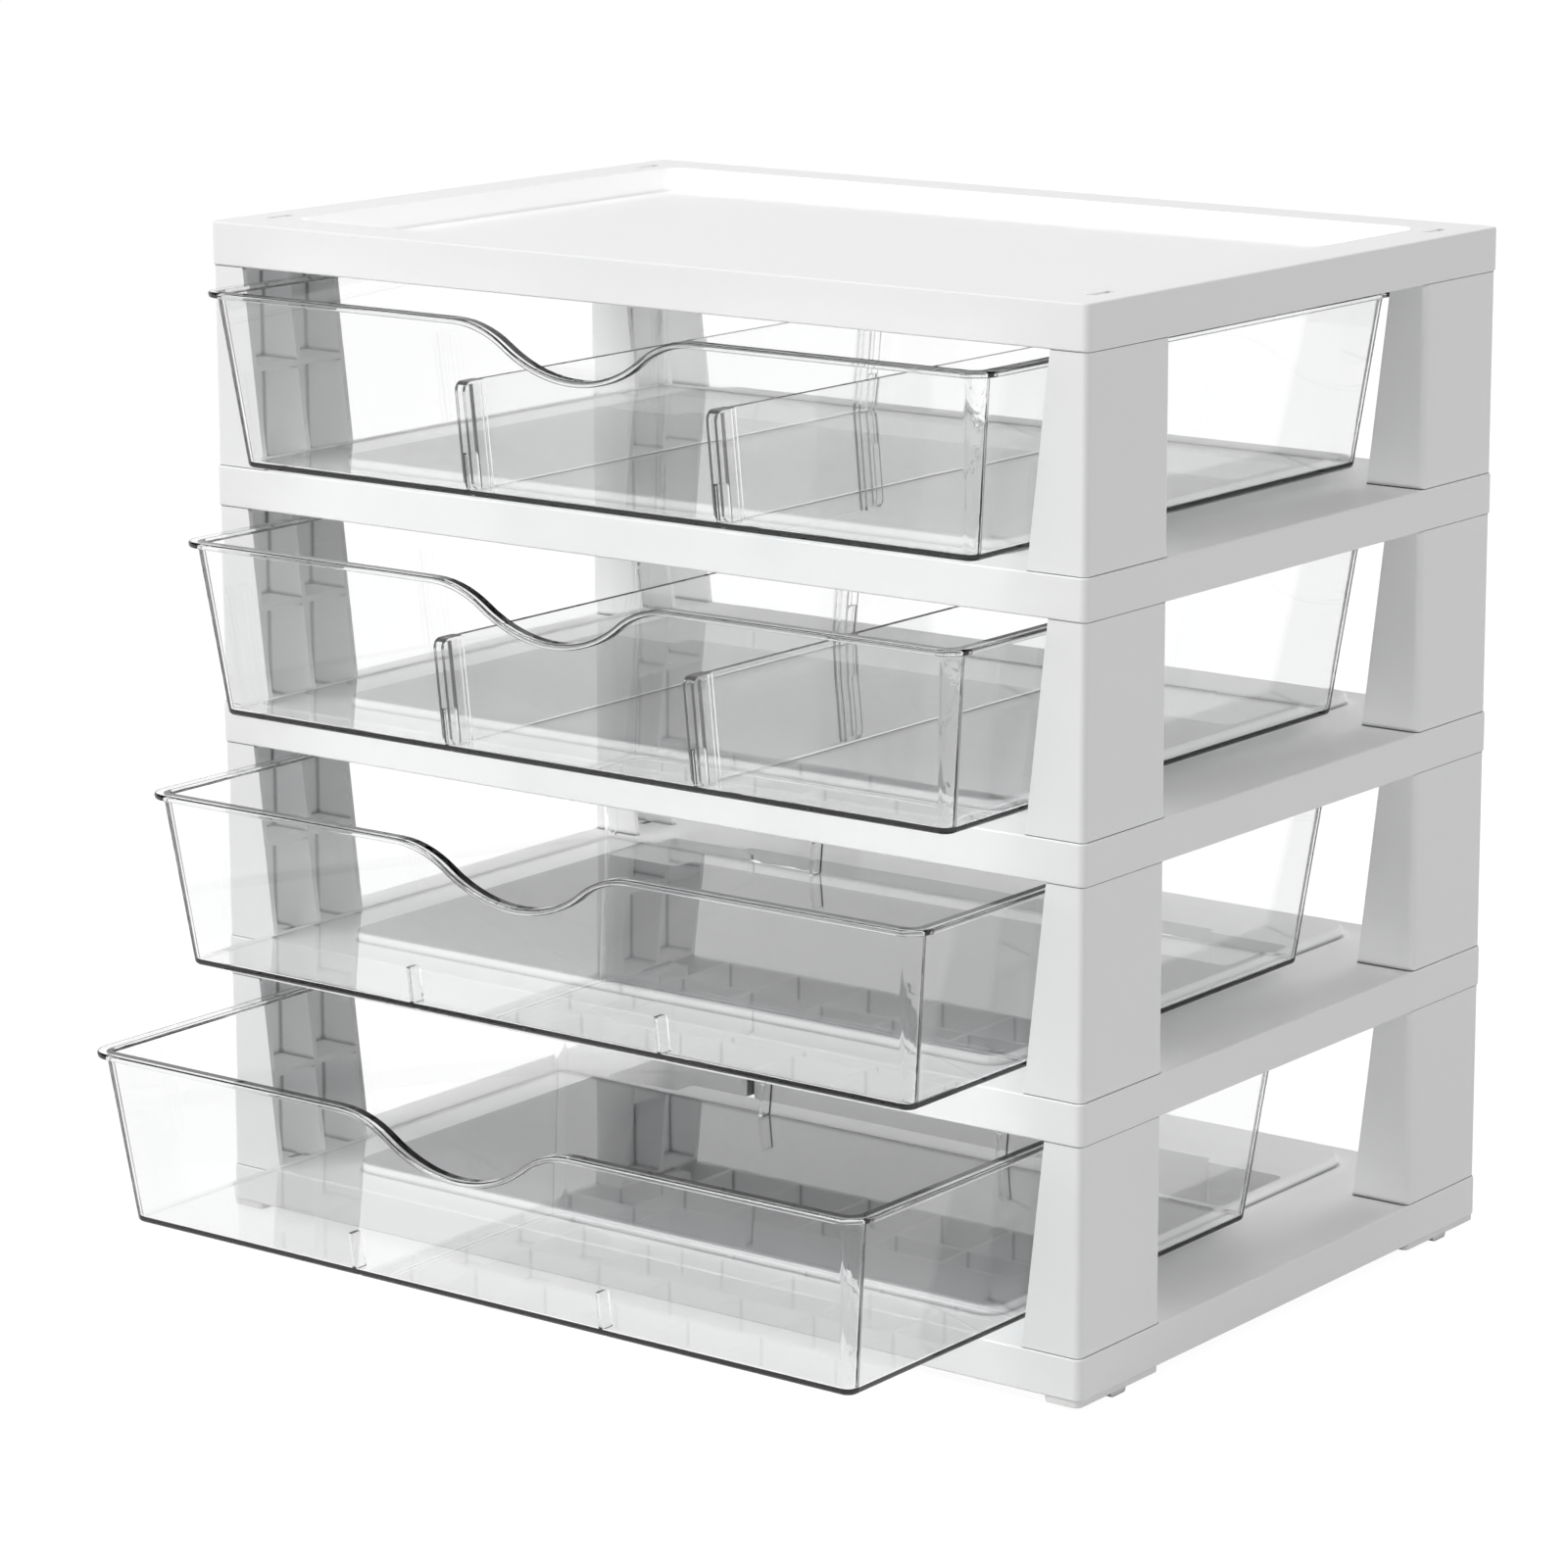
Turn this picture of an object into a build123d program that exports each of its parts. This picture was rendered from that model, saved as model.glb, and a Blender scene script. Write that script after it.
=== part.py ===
from build123d import *
import os
from math import asin, ceil, cos, sin

# Storage drawers for craft paper: four clear drawers that slide on four shelves, stacked on
# clip-in legs under a top panel with a shallow tray. The frame is white, the drawers are clear.
# Millimetres. +Z is up, X runs across the front, the front faces -Y, and the origin is on
# the floor under the middle of the frame.

# ---------------------------------------------------------------- driving dimensions

# panels of the frame
WIDTH = 362.0  # across the front
DEPTH = 248.0  # front to back
TOP_HEIGHT = 15.0  # edge of the top panel
SHELF_HEIGHT = 14.0  # edge of each shelf
PANEL_WALL = 2.5
CORNER_R = 2.7  # upright corners
CORNER_SPREAD = 0.25  # where a wall leans out, its corner radius grows by this share of the lean
EDGE_R = 0.7  # softened long edges
RIB_WALL = 1.6  # stiffening ribs under the panels
RIB_SPACING = 34.0  # widest hollow between two ribs

# tray moulded in the top panel
TRAY_INSET = 19.5
TRAY_DEPTH = 8.5
TRAY_CORNER_R = 9.0
TRAY_LEAN = 2.0  # the tray's walls lean out by this much
TRAY_FLOOR_R = 1.6

# raised bed that a drawer slides on
BED_INSET_SIDE = 44.5
BED_INSET_END = 15.5
BED_RISE = 4.0
BED_CORNER_R = 7.0
BED_EDGE_R = 1.2

# long window through the rear of each bed, wider towards its two ends
WINDOW_SIDE_RIM = 1.6  # bed left beside the window
WINDOW_REAR_RIM = 34.0  # bed left behind the middle of the window
WINDOW_LENGTH = 35.5  # front to back, in the middle
WINDOW_END_WIDTH = 33.0  # each end part, along X
WINDOW_FRONT_STEP = 9.5  # the end parts reach this much further forward
WINDOW_REAR_STEP = 4.0  # and stop this much sooner at the rear
WINDOW_R = 3.0
WINDOW_JOG_R = 1.8

# legs, one at each corner of each tier
LEG_HEIGHT = 69.3
LEG_TOP_WIDTH = 13.9
LEG_FOOT_WIDTH = 21.9
LEG_DEPTH = 46.0
LEG_WALL = 2.0
LEG_INSET = 0.5  # the legs stand this far inside the panels' faces
LEG_EDGE_R = 0.4

# tongue on top of each leg and foot, and the slot that it enters
SLOT_LENGTH = 12.5
SLOT_WIDTH = 3.2
SLOT_R = 0.8
TONGUE_EDGE = 1.45  # leg left between the slot and the leg's inner edge
TONGUE_CLEARANCE = 0.2  # all round
TONGUE_SHY = 0.8  # a shelf's slot is this much deeper than the tongue

# pegs under each leg, which enter the shelf below, one each side of the slot
PEG_WALL = 1.8
PEG_LENGTH = 8.0
PEG_OUTER_WIDTH = 4.0
PEG_INNER_WIDTH = 5.0
PEG_GAP = 1.8  # between a peg and the slot
PEG_CLEARANCE = 0.2

# feet
FOOT_HEIGHT = 2.2
FOOT_CORNER_R = 2.2
PAD_LENGTH = 8.5  # the pad that touches the floor
PAD_WIDTH = 6.0
PAD_DROP = 1.6
PAD_R = 1.2

# drawers
SIDE_GAP = 7.5  # from the foot of a leg to the drawer's bottom
END_GAP = 1.0  # a closed drawer's rim stands this far behind the frame's face
HEADROOM = 4.8  # over the rim
BED_CLEARANCE = 0.3
DRAWER_WALL = 2.0
DRAWER_FLOOR = 2.0
DRAWER_LEAN = 7.3  # each wall leans out by this much
DRAWER_CORNER_R = 4.2
DRAWER_BOTTOM_R = 1.6
RIM_REACH = 3.0
RIM_THICKNESS = 2.0
RIM_TIP_R = 0.7
PULLED_OUT = [27.7, 40.3, 59.9, 90.5]  # rim in front of the frame, top drawer first

# finger scoop in the front of a drawer
SCOOP_WIDTH = 98.0
SCOOP_DEPTH = 16.7
SCOOP_SHOULDER_R = 35.0

# fins inside the front and rear walls, which hold the dividers
FIN_X = 52.0  # each side of the middle
FIN_HEIGHT = 12.6
FIN_DEPTH = 5.0
FIN_THICKNESS = 1.6
FIN_TIP_R = 1.5

# dividers of the two upper drawers
DIVIDED_DRAWERS = 2
DIVIDER_HEIGHT = 36.0
DIVIDER_THICKNESS = 2.0
DIVIDER_CLEARANCE = 0.3
DIVIDER_CORNER_R = 3.0
FORK_LENGTH = 10.0
FORK_WALL = 1.1
FORK_GAP = 2.2

# ---------------------------------------------------------------- derived places

TIERS = len(PULLED_OUT)
slot_x = WIDTH / 2 - LEG_INSET - LEG_TOP_WIDTH + TONGUE_EDGE + SLOT_WIDTH / 2
slot_y = DEPTH / 2 - LEG_INSET - LEG_DEPTH / 2
tongue_length = SHELF_HEIGHT - TONGUE_SHY
tongue_width = SLOT_WIDTH - 2 * TONGUE_CLEARANCE
tongue_depth = SLOT_LENGTH - 2 * TONGUE_CLEARANCE

bed_width = WIDTH - 2 * BED_INSET_SIDE
bed_length = DEPTH - 2 * BED_INSET_END

base_z = PAD_DROP + FOOT_HEIGHT
tier_pitch = SHELF_HEIGHT + LEG_HEIGHT

drawer_height = LEG_HEIGHT - BED_RISE - BED_CLEARANCE - HEADROOM
drawer_width = WIDTH - 2 * (LEG_INSET + LEG_FOOT_WIDTH + SIDE_GAP)
drawer_length = DEPTH - 2 * (END_GAP + RIM_REACH + DRAWER_LEAN)


def shelf_z(tier):
    """Height of the underside of a tier's shelf; the top tier is tier 1."""
    return base_z + (TIERS - tier) * tier_pitch


# ---------------------------------------------------------------- shared shapes

CORNERS = {"front_left": (-1, -1), "front_right": (1, -1), "rear_left": (-1, 1), "rear_right": (1, 1)}


def at_corner(piece, side_x, side_y):
    """Turn a piece made for the rear right corner into the one for another corner."""
    if side_x < 0:
        piece = mirror(piece, about=Plane.YZ)
    if side_y < 0:
        piece = mirror(piece, about=Plane.XZ)
    return piece


def panel_blank(height):
    """A slab of the frame's footprint with its upright corners and long edges rounded."""
    slab = extrude(RectangleRounded(WIDTH, DEPTH, CORNER_R), height)
    rims = slab.edges().group_by(Axis.Z)
    return fillet(rims[0] + rims[-1], EDGE_R)


def socket_block(width_to):
    """In plan, the solid corner around the slot and peg holes, from the outer wall inwards."""
    outer = WIDTH / 2 - PANEL_WALL / 2
    inner = WIDTH / 2 - width_to
    length = SLOT_LENGTH + 2 * PANEL_WALL
    block = Pos((outer + inner) / 2, slot_y) * Rectangle(outer - inner, length)
    return [at_corner(block, *signs) for signs in CORNERS.values()]


def rib_lines(width, depth):
    """In plan, the thin stiffening ribs that cross a region of this size."""
    columns = ceil(width / RIB_SPACING)
    rows = ceil(depth / RIB_SPACING)
    lines = [Pos(width * (i / columns - 0.5), 0) * Rectangle(RIB_WALL, depth) for i in range(1, columns)]
    lines += [Pos(0, depth * (i / rows - 0.5)) * Rectangle(width, RIB_WALL) for i in range(1, rows)]
    return lines


def slots(height):
    """The four slots for the tongues, through a panel of this height."""
    slot = extrude(Pos(slot_x, slot_y) * RectangleRounded(SLOT_WIDTH, SLOT_LENGTH, SLOT_R), height)
    return [at_corner(slot, *signs) for signs in CORNERS.values()]


def peg_spans():
    """Start and end of the outer and the inner peg along X, at the rear right corner."""
    outer_start = slot_x + SLOT_WIDTH / 2 + PEG_GAP
    inner_end = slot_x - SLOT_WIDTH / 2 - PEG_GAP
    return [(outer_start, outer_start + PEG_OUTER_WIDTH), (inner_end - PEG_INNER_WIDTH, inner_end)]


def tongue():
    """The tongue of a leg or foot at the rear right corner, from z = 0 up."""
    tip_r = SLOT_R / 2
    plan = Pos(slot_x, slot_y) * RectangleRounded(tongue_width, tongue_depth, tip_r)
    blade = extrude(plan, tongue_length)
    return chamfer(blade.edges().group_by(Axis.Z)[-1], tip_r)


# ---------------------------------------------------------------- panels


def tub(width, length, radius, lean, height):
    """A rounded rectangular block that widens upwards by lean on every side."""
    low = RectangleRounded(width, length, radius)
    high_r = radius + CORNER_SPREAD * lean
    high = Pos(0, 0, height) * RectangleRounded(width + 2 * lean, length + 2 * lean, high_r)
    return loft([low, high], ruled=True)


def top_panel():
    panel = panel_blank(TOP_HEIGHT)
    floor_width = WIDTH - 2 * (TRAY_INSET + TRAY_LEAN)
    floor_depth = DEPTH - 2 * (TRAY_INSET + TRAY_LEAN)
    floor_r = TRAY_CORNER_R - CORNER_SPREAD * TRAY_LEAN
    tray = tub(floor_width, floor_depth, floor_r, TRAY_LEAN, TRAY_DEPTH)
    tray = fillet(tray.edges().group_by(Axis.Z)[0], TRAY_FLOOR_R)
    panel -= Pos(0, 0, TOP_HEIGHT - TRAY_DEPTH) * tray

    inside = RectangleRounded(WIDTH - 2 * PANEL_WALL, DEPTH - 2 * PANEL_WALL, CORNER_R / 2)
    ribs = rib_lines(WIDTH, DEPTH)
    under_tray = inside - ribs - socket_block(TRAY_INSET)
    panel -= extrude(under_tray, TOP_HEIGHT - TRAY_DEPTH - PANEL_WALL)
    outwards = PANEL_WALL + TRAY_LEAN
    tray_outside = RectangleRounded(floor_width + 2 * outwards, floor_depth + 2 * outwards,
                                    TRAY_CORNER_R + PANEL_WALL)
    under_rim = inside - tray_outside - ribs - socket_block(TRAY_INSET)
    panel -= extrude(under_rim, TOP_HEIGHT - PANEL_WALL)
    return panel - slots(TOP_HEIGHT)


def window_outline(grow):
    """The window through a bed, in plan, grown by grow on all sides."""
    half = bed_width / 2 - WINDOW_SIDE_RIM + grow
    jog = half - WINDOW_END_WIDTH - 2 * grow
    rear = bed_length / 2 - WINDOW_REAR_RIM + grow
    front = rear - WINDOW_LENGTH - 2 * grow
    end_rear = rear - WINDOW_REAR_STEP
    end_front = front - WINDOW_FRONT_STEP
    right = [(0, rear), (jog, rear), (jog, end_rear), (half, end_rear), (half, end_front),
             (jog, end_front), (jog, front), (0, front)]
    left = [(-x, y) for x, y in reversed(right[1:-1])]
    outline = make_face(Polyline(*right, *left, close=True))
    outer = [v for v in outline.vertices() if abs(v.X) > half - WINDOW_R]
    outline = fillet(outer, WINDOW_R)
    jogs = [v for v in outline.vertices() if abs(abs(v.X) - jog) < WINDOW_JOG_R]
    return fillet(jogs, WINDOW_JOG_R)


def shelf():
    """A shelf or the base: a ribbed panel with a raised bed, a window and four corner sockets."""
    panel = panel_blank(SHELF_HEIGHT)
    bed = extrude(RectangleRounded(bed_width, bed_length, BED_CORNER_R), SHELF_HEIGHT + BED_RISE)
    panel += fillet(bed.edges().group_by(Axis.Z)[-1], BED_EDGE_R)
    panel -= extrude(window_outline(0), SHELF_HEIGHT + BED_RISE)

    inside = RectangleRounded(WIDTH - 2 * PANEL_WALL, DEPTH - 2 * PANEL_WALL, CORNER_R / 2)
    frame_of_window = window_outline(RIB_WALL)
    ribs = rib_lines(WIDTH, DEPTH)
    low = inside - ribs - socket_block(LEG_INSET + LEG_FOOT_WIDTH) - frame_of_window
    panel -= extrude(low, SHELF_HEIGHT - PANEL_WALL)
    bed_inside = RectangleRounded(bed_width - 2 * PANEL_WALL, bed_length - 2 * PANEL_WALL,
                                  BED_CORNER_R - PANEL_WALL)
    panel -= extrude(bed_inside - ribs - frame_of_window, SHELF_HEIGHT + BED_RISE - PANEL_WALL)

    panel -= slots(SHELF_HEIGHT)
    hole_depth = PEG_LENGTH + PEG_CLEARANCE
    for start, end in peg_spans():
        hole_width = end - start + 2 * PEG_CLEARANCE
        outline = Rectangle(hole_width, PEG_WALL + 2 * PEG_CLEARANCE)
        hole = extrude(Pos((start + end) / 2, slot_y, SHELF_HEIGHT - hole_depth) * outline, hole_depth)
        panel -= [at_corner(hole, *signs) for signs in CORNERS.values()]
    return panel


# ---------------------------------------------------------------- legs and feet


def rounded_rims(body, outer_x):
    """The rims of a leg's visible outside, at its top and its foot."""
    rims = body.edges().group_by(Axis.Z)
    return rims[0].filter_by(lambda e: e.center().X > outer_x - LEG_TOP_WIDTH) + rims[-1]


def leg():
    """The rear right leg from z = 0 up: a channel open to the drawer, with crossed webs inside."""
    outer_x = WIDTH / 2 - LEG_INSET
    rear_y = DEPTH / 2 - LEG_INSET
    front_view = [(outer_x, 0), (outer_x, LEG_HEIGHT), (outer_x - LEG_TOP_WIDTH, LEG_HEIGHT),
                  (outer_x - LEG_FOOT_WIDTH, 0)]
    face = make_face(Plane.XZ * Polyline(*front_view, close=True))
    body = Pos(0, rear_y, 0) * extrude(face, LEG_DEPTH)
    uprights = body.edges().filter_by(Axis.Z).group_by(Axis.X)[-1]
    body = fillet(uprights, CORNER_R - LEG_INSET)
    body = fillet(rounded_rims(body, outer_x), LEG_EDGE_R)

    cell_y = (LEG_DEPTH - 3 * LEG_WALL) / 2
    low_cell_z = (LEG_HEIGHT - LEG_WALL) / 2
    high_cell_z = low_cell_z - LEG_WALL
    reach = LEG_FOOT_WIDTH
    from_outer_wall = (Align.MAX, Align.CENTER, Align.MIN)
    low_cell = Box(reach, cell_y, low_cell_z, align=from_outer_wall)
    high_cell = Pos(0, 0, low_cell_z + LEG_WALL) * Box(reach, cell_y, high_cell_z, align=from_outer_wall)
    for shift in (-1, 1):
        y = slot_y + shift * (cell_y + LEG_WALL) / 2
        body -= Pos(outer_x - LEG_WALL, y, 0) * (low_cell + high_cell)
    body += Pos(0, 0, LEG_HEIGHT) * tongue()
    for start, end in peg_spans():
        peg = Box(end - start, PEG_WALL, PEG_LENGTH, align=(Align.CENTER, Align.CENTER, Align.MAX))
        body += Pos((start + end) / 2, slot_y, 0) * peg
    return body


def foot():
    """The rear right foot from the floor up: a low pad, a shoe as wide as the leg and its tongue."""
    outer_x = WIDTH / 2 - LEG_INSET
    shoe_plan = RectangleRounded(LEG_TOP_WIDTH, LEG_DEPTH, FOOT_CORNER_R)
    shoe = Pos(outer_x - LEG_TOP_WIDTH / 2, slot_y, PAD_DROP) * extrude(shoe_plan, FOOT_HEIGHT)
    shoe = fillet(shoe.edges().group_by(Axis.Z)[0], LEG_EDGE_R)
    pad = Box(PAD_WIDTH, PAD_LENGTH, PAD_DROP + FOOT_HEIGHT / 2, align=(Align.MAX, Align.CENTER, Align.MIN))
    pad = Pos(outer_x - LEG_EDGE_R, slot_y, 0) * pad
    pad = fillet(pad.edges().filter_by(Axis.X).group_by(Axis.Z)[0], PAD_R)
    return shoe + pad + Pos(0, 0, base_z) * tongue()


# ---------------------------------------------------------------- drawers


def wall_y(z):
    """Half the drawer's outside length at height z."""
    return drawer_length / 2 + DRAWER_LEAN * z / drawer_height


def scoop_line(drop):
    """The rim's line along the scoop, from left to right, drop below the rim's top face."""
    half = SCOOP_WIDTH / 2
    sum_r = (half**2 + SCOOP_DEPTH**2) / (2 * SCOOP_DEPTH)
    turn = asin(half / sum_r)
    shoulder = SCOOP_SHOULDER_R - drop
    center_z = drawer_height - SCOOP_SHOULDER_R
    bottom_z = drawer_height - SCOOP_DEPTH - drop

    def on_shoulder(angle):
        return (-half + shoulder * sin(angle), center_z + shoulder * cos(angle))

    start, middle, bend = on_shoulder(0), on_shoulder(turn / 2), on_shoulder(turn)

    def flipped(point):
        return (-point[0], point[1])

    return [
        ThreePointArc(start, middle, bend),
        ThreePointArc(bend, (0, bottom_z), flipped(bend)),
        ThreePointArc(flipped(bend), flipped(middle), flipped(start)),
    ]


def lean_slab(inner, outer, width):
    """A slab that follows the front wall's lean, from inner inside its face to outer in front."""
    over = RIM_THICKNESS
    low, high = -over, drawer_height + over
    corners = [(-wall_y(low) + inner, low), (-wall_y(high) + inner, high),
               (-wall_y(high) - outer, high), (-wall_y(low) - outer, low)]
    face = make_face(Plane.YZ * Polyline(*corners, close=True))
    return extrude(face, width / 2, both=True)


def drawer():
    """One drawer in the middle of the frame, its underside at z = 0."""
    shell = tub(drawer_width, drawer_length, DRAWER_CORNER_R, DRAWER_LEAN, drawer_height)
    shell = fillet(shell.edges().group_by(Axis.Z)[0], DRAWER_BOTTOM_R)

    lean_at_rim = DRAWER_LEAN * RIM_THICKNESS / drawer_height
    outwards = DRAWER_LEAN - lean_at_rim + RIM_REACH
    rim_width = drawer_width + 2 * outwards
    rim_length = drawer_length + 2 * outwards
    rim_r = DRAWER_CORNER_R + CORNER_SPREAD * DRAWER_LEAN + RIM_REACH
    rim = tub(rim_width, rim_length, rim_r, lean_at_rim, RIM_THICKNESS)
    shell += Pos(0, 0, drawer_height - RIM_THICKNESS) * rim

    inside_height = drawer_height - DRAWER_FLOOR
    inside_low = DRAWER_LEAN * DRAWER_FLOOR / drawer_height
    inwards = DRAWER_WALL - inside_low
    inside = tub(drawer_width - 2 * inwards, drawer_length - 2 * inwards, DRAWER_CORNER_R - DRAWER_WALL,
                 DRAWER_LEAN - inside_low, inside_height)
    inside = fillet(inside.edges().group_by(Axis.Z)[0], DRAWER_BOTTOM_R / 2)
    shell -= Pos(0, 0, DRAWER_FLOOR) * inside

    # the scoop: cut the wall down to the middle of the new rim, then lay the rim along it
    half = SCOOP_WIDTH / 2
    above = drawer_height + RIM_THICKNESS
    cut = scoop_line(RIM_THICKNESS / 2)
    edge_z = drawer_height - RIM_THICKNESS / 2
    cut += [Line((half, edge_z), (half, above)), Line((half, above), (-half, above)),
            Line((-half, above), (-half, edge_z))]
    whole_front = lean_slab(2 * DRAWER_WALL, 2 * RIM_REACH, SCOOP_WIDTH)
    shell -= extrude(Plane.XZ * make_face(cut), drawer_length) & whole_front
    low_z = drawer_height - RIM_THICKNESS
    ends = [Line((x, drawer_height), (x, low_z)) for x in (-half, half)]
    band = make_face(scoop_line(0) + scoop_line(RIM_THICKNESS) + ends)
    shell += extrude(Plane.XZ * band, drawer_length) & lean_slab(DRAWER_WALL, RIM_REACH, SCOOP_WIDTH)

    # round the lip: its two rear edges run on around the drawer and along the scoop
    lip_y = wall_y(drawer_height) + RIM_REACH / 2
    lip_edges = shell.edges().filter_by(lambda edge: edge.center().Y > lip_y)
    shell = fillet(lip_edges, RIM_TIP_R)

    for side_x in (-1, 1):
        for side_y in (-1, 1):
            shell += Pos(side_x * FIN_X, 0, 0) * fin(side_y)
    return shell


def fin(side_y):
    """A thin upright fin inside the front (-1) or rear (1) wall."""
    low, high = DRAWER_FLOOR / 2, DRAWER_FLOOR + FIN_HEIGHT
    root = DRAWER_WALL / 2
    tip = DRAWER_WALL + FIN_DEPTH
    corners = [(wall_y(low) - root, low), (wall_y(high) - root, high),
               (wall_y(high) - tip, high), (wall_y(low) - tip, low)]
    outline = make_face(Plane.YZ * Polyline(*corners, close=True))
    blade = extrude(outline, FIN_THICKNESS / 2, both=True)
    top_edges = blade.edges().filter_by(Axis.X).group_by(Axis.Z)[-1]
    blade = fillet(top_edges.group_by(Axis.Y)[0], FIN_TIP_R)
    return blade if side_y > 0 else mirror(blade, about=Plane.XZ)


# ---------------------------------------------------------------- dividers


def divider():
    """A divider in the middle of a drawer, in the drawer's own height: a plate with forked ends."""
    low = DRAWER_FLOOR + DIVIDER_CLEARANCE
    high = low + DIVIDER_HEIGHT
    gap = DRAWER_WALL + 2 * DIVIDER_CLEARANCE

    def side_view(shorter):
        corners = [(wall_y(low) - gap - shorter, low), (wall_y(high) - gap - shorter, high)]
        corners += [(-y, z) for y, z in reversed(corners)]
        return make_face(Plane.YZ * Polyline(*corners, close=True))

    fork_width = FORK_GAP + 2 * FORK_WALL
    whole = extrude(side_view(0), fork_width / 2, both=True)
    whole = fillet(whole.edges().filter_by(Axis.X), DIVIDER_CORNER_R)
    middle_cut = extrude(side_view(FORK_LENGTH), fork_width, both=True)
    plate = extrude(side_view(FORK_LENGTH / 2), DIVIDER_THICKNESS / 2, both=True)
    groove = extrude(side_view(-FORK_LENGTH), FORK_GAP / 2, both=True)
    groove -= extrude(side_view(FORK_LENGTH - FORK_WALL), FORK_GAP, both=True)
    groove &= Pos(0, 0, -FORK_WALL) * extrude(side_view(-2 * FORK_LENGTH), FORK_GAP, both=True)
    return (whole - middle_cut) - groove + plate


# ---------------------------------------------------------------- the whole thing


def build():
    """Every node by name, in its place."""
    nodes = {}
    top_z = shelf_z(0)
    nodes["top_panel"] = Pos(0, 0, top_z) * top_panel()
    one_shelf = shelf()
    one_leg = leg()
    one_drawer = drawer()
    one_divider = divider()
    shelf_names = ["shelf_upper", "shelf_middle", "shelf_lower", "base_shelf"]
    for tier in range(1, TIERS + 1):
        z = shelf_z(tier)
        nodes[shelf_names[tier - 1]] = Pos(0, 0, z) * one_shelf
        for corner, signs in CORNERS.items():
            nodes[f"leg_{tier}_{corner}"] = Pos(0, 0, z + SHELF_HEIGHT) * at_corner(one_leg, *signs)
        place = Pos(0, -(PULLED_OUT[tier - 1] + END_GAP), z + SHELF_HEIGHT + BED_RISE + BED_CLEARANCE)
        nodes[f"drawer_{tier}"] = place * one_drawer
        if tier <= DIVIDED_DRAWERS:
            nodes[f"divider_{tier}_left"] = place * Pos(-FIN_X, 0, 0) * one_divider
            nodes[f"divider_{tier}_right"] = place * Pos(FIN_X, 0, 0) * one_divider
    for corner, signs in CORNERS.items():
        nodes[f"foot_{corner}"] = at_corner(foot(), *signs)
    return nodes


os.makedirs("parts", exist_ok=True)
for name, solid in build().items():
    solid.label = name
    export_step(solid, f"parts/{name}.step")
    print(name, round(solid.volume / 1000, 2), "cm3")
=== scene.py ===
# %% [markdown]
# Clear storage drawers in a white frame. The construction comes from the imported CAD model: every
# panel, leg, foot, drawer and divider already has its real size and place. This script gives the
# pieces their finishes, sets up a bright studio and looks at them from the photograph's angle.

# %% Load the frame
import math

import bpy
from mathutils import Matrix, Vector


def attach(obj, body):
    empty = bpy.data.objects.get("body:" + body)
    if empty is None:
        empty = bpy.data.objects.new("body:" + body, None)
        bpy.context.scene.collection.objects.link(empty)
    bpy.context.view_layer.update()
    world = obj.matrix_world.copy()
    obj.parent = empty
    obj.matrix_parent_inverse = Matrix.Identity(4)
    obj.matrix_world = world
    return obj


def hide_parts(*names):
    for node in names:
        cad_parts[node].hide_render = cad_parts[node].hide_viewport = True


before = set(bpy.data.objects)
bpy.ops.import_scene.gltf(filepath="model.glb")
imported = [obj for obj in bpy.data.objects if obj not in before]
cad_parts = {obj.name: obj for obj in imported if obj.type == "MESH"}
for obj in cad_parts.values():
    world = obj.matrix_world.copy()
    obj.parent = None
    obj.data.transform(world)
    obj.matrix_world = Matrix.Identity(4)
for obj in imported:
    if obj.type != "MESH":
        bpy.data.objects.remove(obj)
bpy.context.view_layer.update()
scene = bpy.context.scene

# %% [markdown]
# The camera stands to the front right, a little above the top panel, about 1.9 m away, with a long
# lens. Such a view keeps the upright edges nearly parallel. The small lens shift only places the
# object in the frame as the photograph does.

# %% Camera
IMAGE_SIZE = 1600
FOCAL_PX = 5368.2
CENTRE_PX = (900.0, 690.0)
SENSOR_MM = 36.0
camera_place = Vector((1.0627, -1.4307, 0.5613))
yaw, pitch, roll = (math.radians(a) for a in (36.2702, 11.6171, -0.0412))

forward = Vector((-math.sin(yaw) * math.cos(pitch), math.cos(yaw) * math.cos(pitch), -math.sin(pitch)))
level_right = Vector((math.cos(yaw), math.sin(yaw), 0.0))
level_down = forward.cross(level_right)
right = level_right * math.cos(roll) + level_down * math.sin(roll)
down = level_down * math.cos(roll) - level_right * math.sin(roll)

lens_data = bpy.data.cameras.new("camera")
lens_data.sensor_width = SENSOR_MM
lens_data.lens = FOCAL_PX / IMAGE_SIZE * SENSOR_MM
lens_data.shift_x = (IMAGE_SIZE / 2 - CENTRE_PX[0]) / IMAGE_SIZE
lens_data.shift_y = (CENTRE_PX[1] - IMAGE_SIZE / 2) / IMAGE_SIZE
camera = bpy.data.objects.new("camera", lens_data)
scene.collection.objects.link(camera)
turn = Matrix((right, -down, -forward)).transposed().to_4x4()
camera.matrix_world = Matrix.Translation(camera_place) @ turn
scene.camera = camera
scene.view_settings.view_transform = "Standard"
print("camera lens", round(lens_data.lens, 1), "mm")

# %% [markdown]
# A line of sight through all four drawers crosses dozens of clear surfaces. With the usual limit of
# twelve bounces it would end on the way and turn black, so the limits are raised.

# %% Light bounces
scene.cycles.max_bounces = 32
scene.cycles.transmission_bounces = 32
scene.cycles.transparent_max_bounces = 32
scene.cycles.diffuse_bounces = 6

# %% [markdown]
# The studio is a white room. What the camera sees past the object is plain white, and so is what
# clear plastic and gloss show of it. High overhead the reflected room darkens, as the black flags
# over a glass photographer's table do, and that draws the dark line along each clear edge.
#
# The room lights the object too, from its walls more than from its ceiling. Light that has already
# bounced between the shelves is taken brighter, which lifts the shade inside the stack without
# flattening the outer faces.

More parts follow.
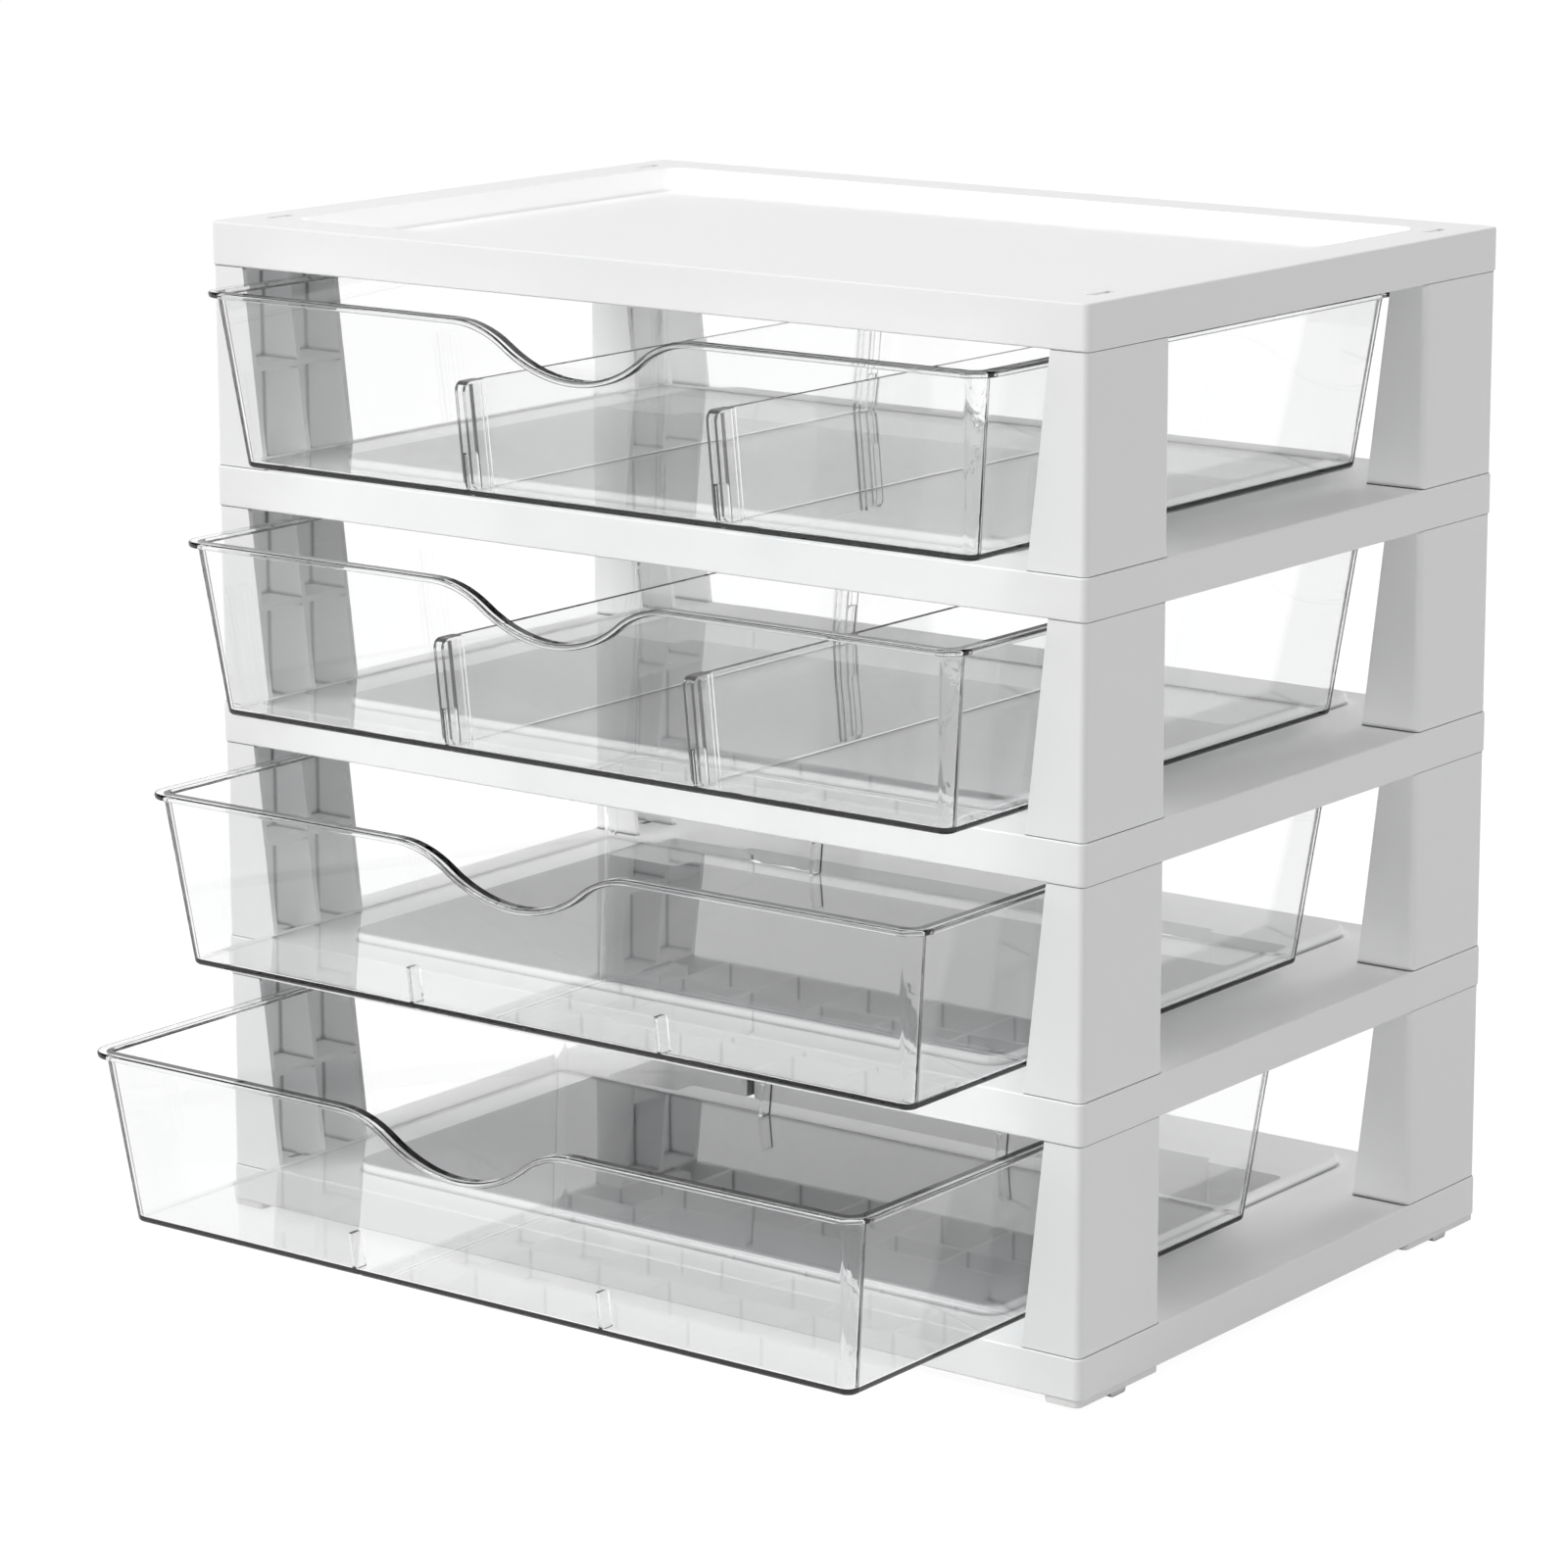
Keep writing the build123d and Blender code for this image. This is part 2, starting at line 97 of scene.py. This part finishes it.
# %% World
AMBIENT = 0.76
ROOM_GAIN = 1.5  # each bounce after the first adds this share of AMBIENT
ROOM_BOUNCES = 3.0  # up to this bounce
BAND_TOP, ZENITH_START = 0.5, 0.8  # the walls' light ends here, the ceiling's begins
ZENITH_SHARE = 0.3  # the ceiling sends this much of the walls' light
FLAG_START, FLAG_FULL = 0.28, 0.46  # sines of the heights between which the flag sets in
FLAG_GREY = 0.02
BEFORE_A_BOUNCE = 0.5  # a path's diffuse depth is a whole number, 0 until it meets a matte surface


def math_node(nodes, links, operation, *values):
    """A Math node fed by sockets or plain numbers; returns its output."""
    node = nodes.new("ShaderNodeMath")
    node.operation = operation
    for socket, value in zip(node.inputs, values):
        if isinstance(value, (int, float)):
            socket.default_value = value
        else:
            links.new(value, socket)
    return node.outputs[0]


def looks_past(nodes, links, path):
    """1 for the camera's own rays and for what clear plastic and gloss show it directly."""
    mirrored = math_node(nodes, links, "MAXIMUM", path.outputs["Is Glossy Ray"],
                         path.outputs["Is Transmission Ray"])
    direct = math_node(nodes, links, "LESS_THAN", path.outputs["Diffuse Depth"], BEFORE_A_BOUNCE)
    mirrored = math_node(nodes, links, "MULTIPLY", mirrored, direct)
    return math_node(nodes, links, "MAXIMUM", path.outputs["Is Camera Ray"], mirrored)


def mix_shaders(nodes, links, factor, low, high, output):
    """Send the shader low to output where factor is 0, and high where it is 1."""
    mix = nodes.new("ShaderNodeMixShader")
    links.new(factor, mix.inputs["Fac"])
    links.new(low.outputs[0], mix.inputs[1])
    links.new(high.outputs[0], mix.inputs[2])
    links.new(mix.outputs[0], output)


world = bpy.data.worlds.new("white_room")
scene.world = world
world.use_nodes = True
nodes, links = world.node_tree.nodes, world.node_tree.links
nodes.clear()
out = nodes.new("ShaderNodeOutputWorld")
lit = nodes.new("ShaderNodeBackground")
seen = nodes.new("ShaderNodeBackground")
path = nodes.new("ShaderNodeLightPath")
direction = nodes.new("ShaderNodeTexCoord")
split = nodes.new("ShaderNodeSeparateXYZ")
links.new(direction.outputs["Generated"], split.inputs[0])


def fade_upwards(start, end, top):
    """White up to the height start, easing to the grey top at the height end (sines)."""
    node = nodes.new("ShaderNodeMapRange")
    node.interpolation_type = "SMOOTHSTEP"
    for label, value in (("From Min", start), ("From Max", end), ("To Min", 1.0), ("To Max", top)):
        node.inputs[label].default_value = value
    links.new(split.outputs["Z"], node.inputs["Value"])
    return node.outputs[0]


links.new(fade_upwards(BAND_TOP, ZENITH_START, ZENITH_SHARE), lit.inputs["Color"])
flag = fade_upwards(FLAG_START, FLAG_FULL, FLAG_GREY)
room = math_node(nodes, links, "MAXIMUM", path.outputs["Is Camera Ray"], flag)
links.new(room, seen.inputs["Color"])
bounced = math_node(nodes, links, "MINIMUM", path.outputs["Diffuse Depth"], ROOM_BOUNCES)
bounced = math_node(nodes, links, "SUBTRACT", bounced, 1.0)
bounced = math_node(nodes, links, "MAXIMUM", bounced, 0.0)
strength = math_node(nodes, links, "MULTIPLY_ADD", bounced, ROOM_GAIN * AMBIENT, AMBIENT)
links.new(strength, lit.inputs["Strength"])
mix_shaders(nodes, links, looks_past(nodes, links, path), lit, seen, out.inputs["Surface"])
print("room light", AMBIENT, "after a bounce up to", AMBIENT * (1 + ROOM_GAIN * (ROOM_BOUNCES - 1)))

# %% [markdown]
# One large softbox stands high at the front left. It whitens the fronts and the top, and leaves the
# right side a calm grey. A second one behind the stack lights the shelves through the open back, and
# a small one low at the front lifts the lower tiers a little. Neither of these shows in the gloss.

# %% Lamps


def softbox(name, place, target, size, power):
    """A square area lamp at place that faces target."""
    data = bpy.data.lights.new(name, "AREA")
    data.shape = "SQUARE"
    data.size = size
    data.energy = power
    lamp = bpy.data.objects.new(name, data)
    scene.collection.objects.link(lamp)
    lamp.location = place
    lamp.rotation_euler = (Vector(target) - Vector(place)).to_track_quat("-Z", "Y").to_euler()
    lamp.visible_transmission = False
    return lamp


MIDDLE = Vector((0.0, 0.0, 0.17))
LAMP_DISTANCE, LAMP_SIZE = 2.8, 1.4
KEY_FROM, KEY_WATTS = Vector((-0.30, -0.58, 0.85)), 40.0
BACK_FROM, BACK_WATTS = Vector((0.0, 0.94, 0.34)), 32.0
LOW_PLACE, LOW_TARGET = Vector((-0.25, -1.0, 0.08)), Vector((0.0, -0.12, 0.10))
LOW_SIZE, LOW_WATTS = 0.5, 0.4

key_place = MIDDLE + LAMP_DISTANCE * KEY_FROM.normalized()
back_place = MIDDLE + LAMP_DISTANCE * BACK_FROM.normalized()
softbox("key_softbox", key_place, MIDDLE, LAMP_SIZE, KEY_WATTS)
back = softbox("back_softbox", back_place, MIDDLE, LAMP_SIZE, BACK_WATTS)
front = softbox("low_front_softbox", LOW_PLACE, LOW_TARGET, LOW_SIZE, LOW_WATTS)
for lamp in (back, front):
    lamp.visible_camera = False
    lamp.visible_glossy = False

# %% [markdown]
# The floor is a wide matte plane. To the camera, and through clear plastic, most of it is a plain
# white glow, so it meets the white room without a horizon, and the rest still takes the faint contact
# shadow. It throws only part of its white back at the object, because a real sweep's light falls off.

# %% Floor
FLOOR_SIZE = 30.0
FLOOR_DROP = 0.0002  # just under the feet's pads, so that they don't share a plane
GLOW, GLOW_SHARE = 1.12, 0.85
FLOOR_SEEN, FLOOR_BOUNCE = 0.9, 0.32  # the floor's white, and what it throws back at the sides

bpy.ops.mesh.primitive_plane_add(size=FLOOR_SIZE, location=(0.0, 0.0, -FLOOR_DROP))
floor = bpy.context.object
floor.name = "floor"
floor_paint = bpy.data.materials.new("floor_white")
floor_paint.use_nodes = True
nodes, links = floor_paint.node_tree.nodes, floor_paint.node_tree.links
nodes.clear()
out = nodes.new("ShaderNodeOutputMaterial")
matte = nodes.new("ShaderNodeBsdfDiffuse")
glow = nodes.new("ShaderNodeEmission")
glow.inputs["Color"].default_value = (1.0, 1.0, 1.0, 1.0)
glow.inputs["Strength"].default_value = GLOW
path = nodes.new("ShaderNodeLightPath")
shade = nodes.new("ShaderNodeMix")
shade.inputs["A"].default_value = FLOOR_SEEN
shade.inputs["B"].default_value = FLOOR_BOUNCE
links.new(path.outputs["Is Diffuse Ray"], shade.inputs["Factor"])
links.new(shade.outputs["Result"], matte.inputs["Color"])
share = math_node(nodes, links, "MULTIPLY", looks_past(nodes, links, path), GLOW_SHARE)
mix_shaders(nodes, links, share, matte, glow, out.inputs["Surface"])
floor.data.materials.append(floor_paint)

# %% [markdown]
# Moulded plastic is never quite flat or quite even: the skin has a very fine texture from the
# mould, and a faint waviness where the walls cooled. One shader group makes both, for the white
# plastic and, much weaker, for the clear one.

# %% Shader group: moulded skin
WAVE_HEIGHT, GRAIN_HEIGHT = 0.0008, 0.0001  # metres, at a depth of 1


def moulded_skin_group():
    """Inputs: the sizes and depths of grain and wave, and a roughness. Outputs: normal, roughness, tone."""
    group = bpy.data.node_groups.new("moulded_skin", "ShaderNodeTree")
    face = group.interface
    for label, value in (("Grain Scale", 900.0), ("Grain Depth", 0.05), ("Wave Scale", 14.0),
                         ("Wave Depth", 0.1), ("Roughness", 0.45), ("Roughness Change", 0.08)):
        socket = face.new_socket(label, in_out="INPUT", socket_type="NodeSocketFloat")
        socket.default_value = value
    face.new_socket("Normal", in_out="OUTPUT", socket_type="NodeSocketVector")
    face.new_socket("Roughness", in_out="OUTPUT", socket_type="NodeSocketFloat")
    face.new_socket("Tone", in_out="OUTPUT", socket_type="NodeSocketFloat")
    nodes, links = group.nodes, group.links
    start = nodes.new("NodeGroupInput")
    end = nodes.new("NodeGroupOutput")
    place = nodes.new("ShaderNodeTexCoord")
    grain = nodes.new("ShaderNodeTexNoise")
    grain.inputs["Detail"].default_value = 2.0
    wave = nodes.new("ShaderNodeTexNoise")
    wave.inputs["Detail"].default_value = 1.0
    links.new(place.outputs["Object"], grain.inputs["Vector"])
    links.new(place.outputs["Object"], wave.inputs["Vector"])
    links.new(start.outputs["Grain Scale"], grain.inputs["Scale"])
    links.new(start.outputs["Wave Scale"], wave.inputs["Scale"])
    wave_bump = nodes.new("ShaderNodeBump")
    wave_bump.inputs["Distance"].default_value = WAVE_HEIGHT
    links.new(start.outputs["Wave Depth"], wave_bump.inputs["Strength"])
    links.new(wave.outputs["Fac"], wave_bump.inputs["Height"])
    grain_bump = nodes.new("ShaderNodeBump")
    grain_bump.inputs["Distance"].default_value = GRAIN_HEIGHT
    links.new(start.outputs["Grain Depth"], grain_bump.inputs["Strength"])
    links.new(grain.outputs["Fac"], grain_bump.inputs["Height"])
    links.new(wave_bump.outputs["Normal"], grain_bump.inputs["Normal"])
    links.new(grain_bump.outputs["Normal"], end.inputs["Normal"])
    centred = math_node(nodes, links, "SUBTRACT", wave.outputs["Fac"], 0.5)
    roughness = math_node(nodes, links, "MULTIPLY_ADD", centred, start.outputs["Roughness Change"],
                          start.outputs["Roughness"])
    links.new(roughness, end.inputs["Roughness"])
    links.new(wave.outputs["Fac"], end.inputs["Tone"])
    return group


moulded_skin = moulded_skin_group()
print("shader group", moulded_skin.name, "with", len(moulded_skin.nodes), "nodes")

# %% [markdown]
# The frame is satin white plastic. Its white is a touch warm in one place and cool in another, by
# an amount that is felt more than seen, and its gloss is soft. The hairline seams between legs and
# shelves, and the slots in the top panel, get painted shade: ambient occlusion with a very short
# reach finds them and darkens the white there, and leaves the open faces clean.

# %% White frame plastic
# Painted shade: the white darkens toward the seam shade where ambient occlusion finds a seam or slot.
SEAM_REACH = 0.0022  # metres: a surface this close to its neighbour is in a seam or a slot
SEAM_CLOSED, SEAM_OPEN = 0.40, 0.88  # the share of open sky with full shade, and with none
SEAM_SAMPLES = 8
PAINTED_SEAM_SHADE = (0.16, 0.16, 0.17)
WHITE_GRAIN_SCALE, WHITE_WAVE_DEPTH = 1400.0, 0.06
WHITE_IOR, WHITE_GLOSS = 1.46, 0.4
MIX_A, MIX_B, MIX_RESULT = 6, 7, 2  # a Mix node's colour sockets


def colour_mix(nodes, links, factor, low, high):
    """The colour low where factor is 0, and high where it is 1; each is a socket or three numbers."""
    node = nodes.new("ShaderNodeMix")
    node.data_type = "RGBA"
    links.new(factor, node.inputs["Factor"])
    for index, colour in ((MIX_A, low), (MIX_B, high)):
        if isinstance(colour, tuple):
            node.inputs[index].default_value = (*colour, 1.0)
        else:
            links.new(colour, node.inputs[index])
    return node.outputs[MIX_RESULT]


def skin_on(nodes, links, shader, **values):
    """Put the moulded skin on a shader with the given inputs; returns the group node."""
    skin = nodes.new("ShaderNodeGroup")
    skin.node_tree = moulded_skin
    for socket in skin.inputs:
        key = socket.name.lower().replace(" ", "_")
        if key in values:
            socket.default_value = values[key]
    links.new(skin.outputs["Roughness"], shader.inputs["Roughness"])
    links.new(skin.outputs["Normal"], shader.inputs["Normal"])
    return skin


def free_of_painted_shade(nodes, links):
    """0 deep in a seam or slot, where the shade is painted in full, 1 on an open face."""
    nearby = nodes.new("ShaderNodeAmbientOcclusion")
    nearby.samples = SEAM_SAMPLES
    nearby.inputs["Distance"].default_value = SEAM_REACH
    node = nodes.new("ShaderNodeMapRange")
    node.inputs["From Min"].default_value = SEAM_CLOSED
    node.inputs["From Max"].default_value = SEAM_OPEN
    links.new(nearby.outputs["AO"], node.inputs["Value"])
    return node.outputs[0]


def white_plastic(name, tone_low, tone_high, roughness, grain_depth):
    """Satin white plastic between two whites, with painted shade in its seams and slots."""
    material = bpy.data.materials.new(name)
    material.use_nodes = True
    nodes, links = material.node_tree.nodes, material.node_tree.links
    shader = nodes["Principled BSDF"]
    skin = skin_on(nodes, links, shader, grain_scale=WHITE_GRAIN_SCALE, grain_depth=grain_depth,
                   wave_depth=WHITE_WAVE_DEPTH, roughness=roughness)
    tone = colour_mix(nodes, links, skin.outputs["Tone"], tone_low, tone_high)
    # painted shade: the colour darkens to the seam shade in seams and slots
    with_painted_shade = colour_mix(nodes, links, free_of_painted_shade(nodes, links), PAINTED_SEAM_SHADE, tone)
    links.new(with_painted_shade, shader.inputs["Base Color"])
    shader.inputs["IOR"].default_value = WHITE_IOR
    shader.inputs["Specular IOR Level"].default_value = WHITE_GLOSS
    print(name, "roughness", roughness)
    return material


panel_white = white_plastic("panel_white", (0.925, 0.925, 0.927), (0.95, 0.95, 0.948), 0.42, 0.12)
leg_white = white_plastic("leg_white", (0.92, 0.922, 0.925), (0.945, 0.945, 0.945), 0.40, 0.12)
foot_white = white_plastic("foot_white", (0.86, 0.855, 0.845), (0.89, 0.885, 0.88), 0.5, 0.2)

# %% [markdown]
# The drawers and dividers are clear polystyrene: glass-like, with an index near 1.55 and a polished
# skin. Lamps would throw no light through real refraction here, so for shadow rays a nearly clear
# film stands in and the pieces cast only a faint shade. Absorption in the volume darkens a wall only
# where the eye looks along it, as at a drawer's bottom edge.
#
# A thick rounded corner bends light so far that it looks dark on both its flanks. Plain refraction in
# an all-white room draws that too thin, so the dark is painted into the plastic's colour: the mould's
# own surface tells where a corner is, and Layer Weight darkens the colour there where it turns away.

# %% Clear plastic
CLEAR_IOR = 1.55
CLEAR_WAVE_DEPTH, CLEAR_ROUGHNESS_CHANGE = 0.015, 0.01
CLEAR = (1.0, 1.0, 1.0)
# painted dark: the refraction's dark flank of a corner, painted into the colour
PAINTED_CORNER_DARK = (0.045, 0.042, 0.04)  # an upright corner seen edge on looks nearly black
CORNER_FROM, CORNER_FULL = 0.02, 0.09  # X times Y of the normal, where a wall becomes a corner
TURNED_FROM, TURNED_FULL = 0.22, 0.42  # how far the surface faces away, from 0 to 1
DEPTH_COLOUR = (0.52, 0.545, 0.55)
DEPTH_DENSITY = 32.0  # per metre: little through a wall, dark along a wall's edge


def smooth_step(nodes, links, value, start, end):
    """0 below start, 1 above end, smooth between."""
    node = nodes.new("ShaderNodeMapRange")
    node.interpolation_type = "SMOOTHSTEP"
    node.inputs["From Min"].default_value = start
    node.inputs["From Max"].default_value = end
    links.new(value, node.inputs["Value"])
    return node.outputs[0]


def painted_corner_mask(nodes, links):
    """1 where a rounded upright corner turns away from the eye, where its dark flank is painted in."""
    place = nodes.new("ShaderNodeTexCoord")
    split = nodes.new("ShaderNodeSeparateXYZ")
    links.new(place.outputs["Normal"], split.inputs[0])
    slant = math_node(nodes, links, "MULTIPLY", split.outputs["X"], split.outputs["Y"])
    slant = math_node(nodes, links, "ABSOLUTE", slant)
    facing = nodes.new("ShaderNodeLayerWeight")
    facing.inputs["Blend"].default_value = 0.5
    turned = smooth_step(nodes, links, facing.outputs["Facing"], TURNED_FROM, TURNED_FULL)
    rounded = smooth_step(nodes, links, slant, CORNER_FROM, CORNER_FULL)
    return math_node(nodes, links, "MULTIPLY", rounded, turned)


def clear_plastic(name, lamp_tint, roughness):
    """Clear plastic whose shadow has the colour lamp_tint."""
    material = bpy.data.materials.new(name)
    material.use_nodes = True
    nodes, links = material.node_tree.nodes, material.node_tree.links
    shader = nodes["Principled BSDF"]
    out = nodes["Material Output"]
    # the corner's dark flank is painted into the colour here
    links.new(colour_mix(nodes, links, painted_corner_mask(nodes, links), CLEAR, PAINTED_CORNER_DARK),
              shader.inputs["Base Color"])
    shader.inputs["Transmission Weight"].default_value = 1.0
    shader.inputs["IOR"].default_value = CLEAR_IOR
    skin_on(nodes, links, shader, grain_depth=0.0, wave_depth=CLEAR_WAVE_DEPTH, roughness=roughness,
            roughness_change=CLEAR_ROUGHNESS_CHANGE)
    film = nodes.new("ShaderNodeBsdfTransparent")
    film.inputs["Color"].default_value = (*lamp_tint, 1.0)
    path = nodes.new("ShaderNodeLightPath")
    mix_shaders(nodes, links, path.outputs["Is Shadow Ray"], shader, film, out.inputs["Surface"])
    depth = nodes.new("ShaderNodeVolumeAbsorption")
    depth.inputs["Color"].default_value = (*DEPTH_COLOUR, 1.0)
    depth.inputs["Density"].default_value = DEPTH_DENSITY
    links.new(depth.outputs[0], out.inputs["Volume"])
    print(name, "index", CLEAR_IOR)
    return material


drawer_clear = clear_plastic("drawer_clear", (0.985, 0.99, 0.99), 0.0)
divider_clear = clear_plastic("divider_clear", (0.98, 0.985, 0.985), 0.01)

# %% [markdown]
# The panels, legs and feet already have their real shape, so they stay as they are and only take
# their finish.

# %% Dress the frame


def paint(name, material):
    """Give a CAD node its finish."""
    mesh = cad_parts[name].data
    mesh.materials.clear()
    mesh.materials.append(material)


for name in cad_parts:
    if name.startswith("leg"):
        paint(name, leg_white)
    elif name.startswith("foot"):
        paint(name, foot_white)
    elif name == "top_panel" or "shelf" in name:
        paint(name, panel_white)

# %% [markdown]
# Every facet of a curved clear edge would show, so each clear piece is a copy of its CAD node with
# smooth shading. A small Geometry Nodes tree polishes it: it welds the loose triangles, shades them
# smooth, and keeps the edges that turn by more than a set angle crisp. One tree serves all eight
# clear mouldings.

# %% Geometry Nodes: polish a moulding


def polish_tree():
    """Inputs: weld distance, crisp angle and material. Output: the welded, smoothly shaded mesh."""
    tree = bpy.data.node_groups.new("polish_moulding", "GeometryNodeTree")
    face = tree.interface
    face.new_socket("Geometry", in_out="INPUT", socket_type="NodeSocketGeometry")
    face.new_socket("Weld Distance", in_out="INPUT", socket_type="NodeSocketFloat")
    face.new_socket("Crisp Angle", in_out="INPUT", socket_type="NodeSocketFloat")
    face.new_socket("Material", in_out="INPUT", socket_type="NodeSocketMaterial")
    face.new_socket("Geometry", in_out="OUTPUT", socket_type="NodeSocketGeometry")
    nodes, links = tree.nodes, tree.links
    start = nodes.new("NodeGroupInput")
    end = nodes.new("NodeGroupOutput")
    weld = nodes.new("GeometryNodeMergeByDistance")
    links.new(start.outputs["Geometry"], weld.inputs["Geometry"])
    links.new(start.outputs["Weld Distance"], weld.inputs["Distance"])
    smooth = nodes.new("GeometryNodeSetShadeSmooth")
    smooth.inputs["Shade Smooth"].default_value = True
    links.new(weld.outputs["Geometry"], smooth.inputs["Geometry"])
    turn = nodes.new("GeometryNodeInputMeshEdgeAngle")
    crisp = nodes.new("FunctionNodeCompare")
    crisp.operation = "GREATER_THAN"
    links.new(turn.outputs["Unsigned Angle"], crisp.inputs["A"])
    links.new(start.outputs["Crisp Angle"], crisp.inputs["B"])
    edges = nodes.new("GeometryNodeSetShadeSmooth")
    edges.domain = "EDGE"
    edges.inputs["Shade Smooth"].default_value = False
    links.new(smooth.outputs["Geometry"], edges.inputs["Geometry"])
    links.new(crisp.outputs["Result"], edges.inputs["Selection"])
    real = nodes.new("GeometryNodeRealizeInstances")
    links.new(edges.outputs["Geometry"], real.inputs["Geometry"])
    finish = nodes.new("GeometryNodeSetMaterial")
    links.new(real.outputs["Geometry"], finish.inputs["Geometry"])
    links.new(start.outputs["Material"], finish.inputs["Material"])
    links.new(finish.outputs["Geometry"], end.inputs["Geometry"])
    return tree


polish = polish_tree()


def with_nodes(piece, tree, **values):
    """Run a Geometry Nodes tree on a piece and keep the result as its plain mesh."""
    modifier = piece.modifiers.new(tree.name, "NODES")
    modifier.node_group = tree
    for socket in tree.interface.items_tree:
        key = socket.name.lower().replace(" ", "_")
        if socket.in_out == "INPUT" and key in values:
            modifier[socket.identifier] = values[key]
    bpy.context.view_layer.update()
    result = bpy.data.meshes.new_from_object(piece.evaluated_get(bpy.context.evaluated_depsgraph_get()))
    piece.modifiers.remove(modifier)
    piece.data = result


CRISP_ANGLE = math.radians(28.0)
WELD_DISTANCE = 1e-6


def polished_copy(node, material):
    """A smoothly shaded copy of a clear CAD node, which stands for it."""
    piece = bpy.data.objects.new(node + "_clear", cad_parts[node].data.copy())
    scene.collection.objects.link(piece)
    piece.data.materials.clear()
    with_nodes(piece, polish, weld_distance=WELD_DISTANCE, crisp_angle=CRISP_ANGLE, material=material)
    even = piece.modifiers.new("flat faces stay flat", "WEIGHTED_NORMAL")
    even.keep_sharp = True
    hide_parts(node)
    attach(piece, node)
    print(piece.name, len(piece.data.vertices), "points", len(piece.data.polygons), "faces")


for name in list(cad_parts):
    if name.startswith("drawer"):
        polished_copy(name, drawer_clear)
    elif name.startswith("divider"):
        polished_copy(name, divider_clear)
